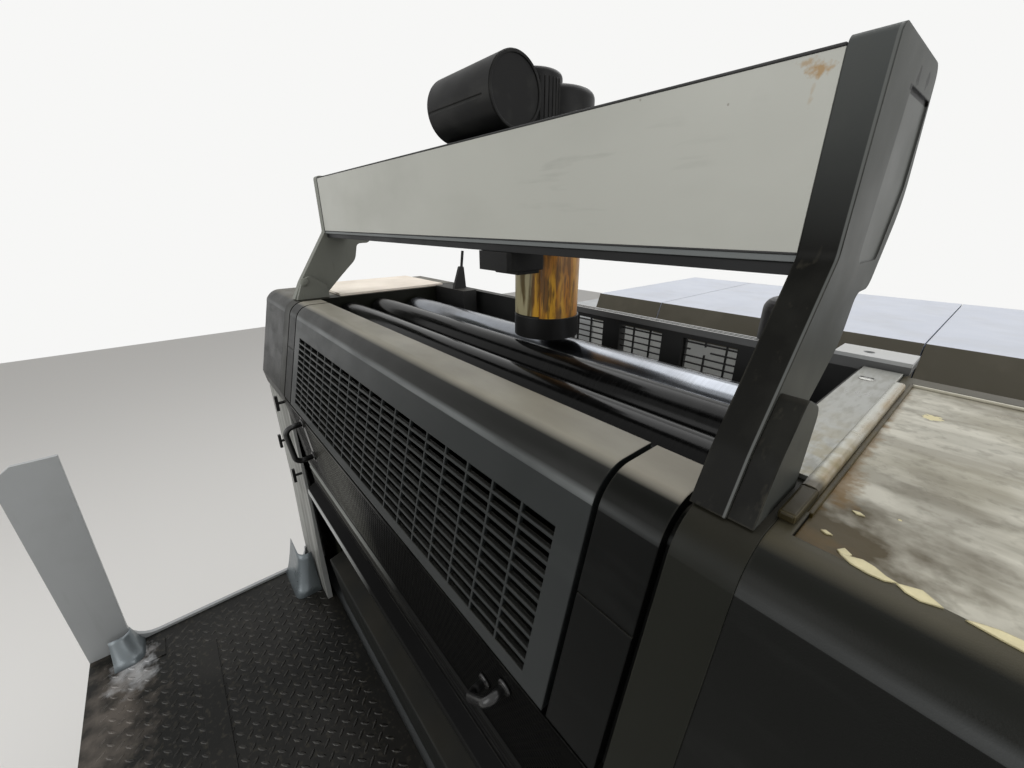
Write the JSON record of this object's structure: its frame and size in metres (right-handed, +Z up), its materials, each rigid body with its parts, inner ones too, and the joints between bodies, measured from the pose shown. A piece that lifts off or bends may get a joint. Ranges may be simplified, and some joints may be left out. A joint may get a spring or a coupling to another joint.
{
  "type": "offset printing press",
  "caption": "Sheet-fed offset printing unit with inking rollers, grille guards, an ink dispensing carriage on a raised beam, galleries and a hooded section.",
  "frame": {"origin": "on the floor, at the middle of the part's length and width", "axes": "+X along the rollers and the ink beam towards the drive side, +Y from the front gallery towards the hooded section, +Z up"},
  "size_m": [1.7, 2.74, 2.1996],
  "materials": {
    "cover": "moulded cover paint, satin with rubbed edges",
    "frame": "satin machine paint",
    "casting": "painted casting",
    "ink_rubber": "inked rubber, slight sheen",
    "steel": "ground steel",
    "guard_plastic": "black moulded plastic",
    "rail_aluminium": "anodised",
    "panel_grey": "light silver grey paint, scuffed",
    "plate_beige": "light beige paint, dusty",
    "plate_worn": "worn paint with ink and rust stains",
    "arm_paint": "dark grey paint",
    "black_plastic": "black moulded plastic",
    "handle": "black plastic",
    "cartridge": "ink-stained cartridge",
    "tread": "chequer plate, black paint worn",
    "gallery": "grey paint",
    "side_plate": "light grey paint",
    "hood": "light grey paint"
  },
  "bodies": {
    "press": {"side_frame_far": "frame", "side_frame_near": "frame", "base_casting": "casting", "rear_guard": "cover", "ink_fountain": "steel", "fountain_guard": "guard_plastic", "guard_rail": "rail_aluminium", "key_bracket": "arm_paint", "cheek_far": "cover", "cheek_near": "cover", "cladding_knobs": "handle", "side_cover_far": "cover", "far_cladding": "side_plate", "far_top_plate": "plate_beige", "side_cover_near": "cover", "near_top_plate": "plate_worn", "near_strips": "panel_grey", "ink_beam": "arm_paint", "beam_panel": "panel_grey", "beam_rail": "black_plastic", "arm_far": "arm_paint", "arm_near": "arm_paint", "arm_foot_far": "arm_paint", "arm_foot_near": "arm_paint", "front_footboard": "tread", "rear_footboard": "tread", "front_gallery_frame": "gallery", "rear_gallery_frame": "gallery", "gangway_plate": "side_plate", "section_base": "casting", "section_front": "panel_grey", "hood_panels": "hood", "hood_near_cover": "hood", "hood_far_cover": "side_plate"},
    "carriage": {"carriage_block": "black_plastic", "carriage_drum": "black_plastic", "carriage_housing": "black_plastic", "ink_tube": "cartridge", "tube_holder": "black_plastic"},
    "front_roller": {"ink_roller_front": "ink_rubber"},
    "rear_roller": {"ink_roller_rear": "ink_rubber"},
    "fountain_roll": {"fountain_roller": "steel"},
    "inking_guard": {"grille_guard": "cover"},
    "plate_guard": {"lower_guard": "cover", "lower_handles": "handle"}
  },
  "joints": [
    {"name": "carriage_slide", "type": "slide", "parent": "press", "child": "carriage", "axis": [1, 0, 0], "range_m": [-0.5, 0.3]},
    {"name": "front_roller_spin", "type": "hinge", "parent": "press", "child": "front_roller", "pos_m": [-0.04, -0.555, 1.757], "axis": [1, 0, 0], "continuous": true},
    {"name": "rear_roller_spin", "type": "hinge", "parent": "press", "child": "rear_roller", "pos_m": [-0.04, -0.465, 1.759], "axis": [1, 0, 0], "continuous": true},
    {"name": "fountain_roller_spin", "type": "hinge", "parent": "press", "child": "fountain_roll", "pos_m": [-0.04, -0.359, 1.745], "axis": [1, 0, 0], "continuous": true},
    {"name": "inking_guard_swing", "type": "hinge", "parent": "press", "child": "inking_guard", "pos_m": [-0.04, -0.637, 1.795], "axis": [-1, 0, 0], "range_deg": [0, 75]},
    {"name": "plate_guard_swing", "type": "hinge", "parent": "press", "child": "plate_guard", "pos_m": [-0.04, -0.692, 1.158], "axis": [1, 0, 0], "range_deg": [0, 60]}
  ]
}
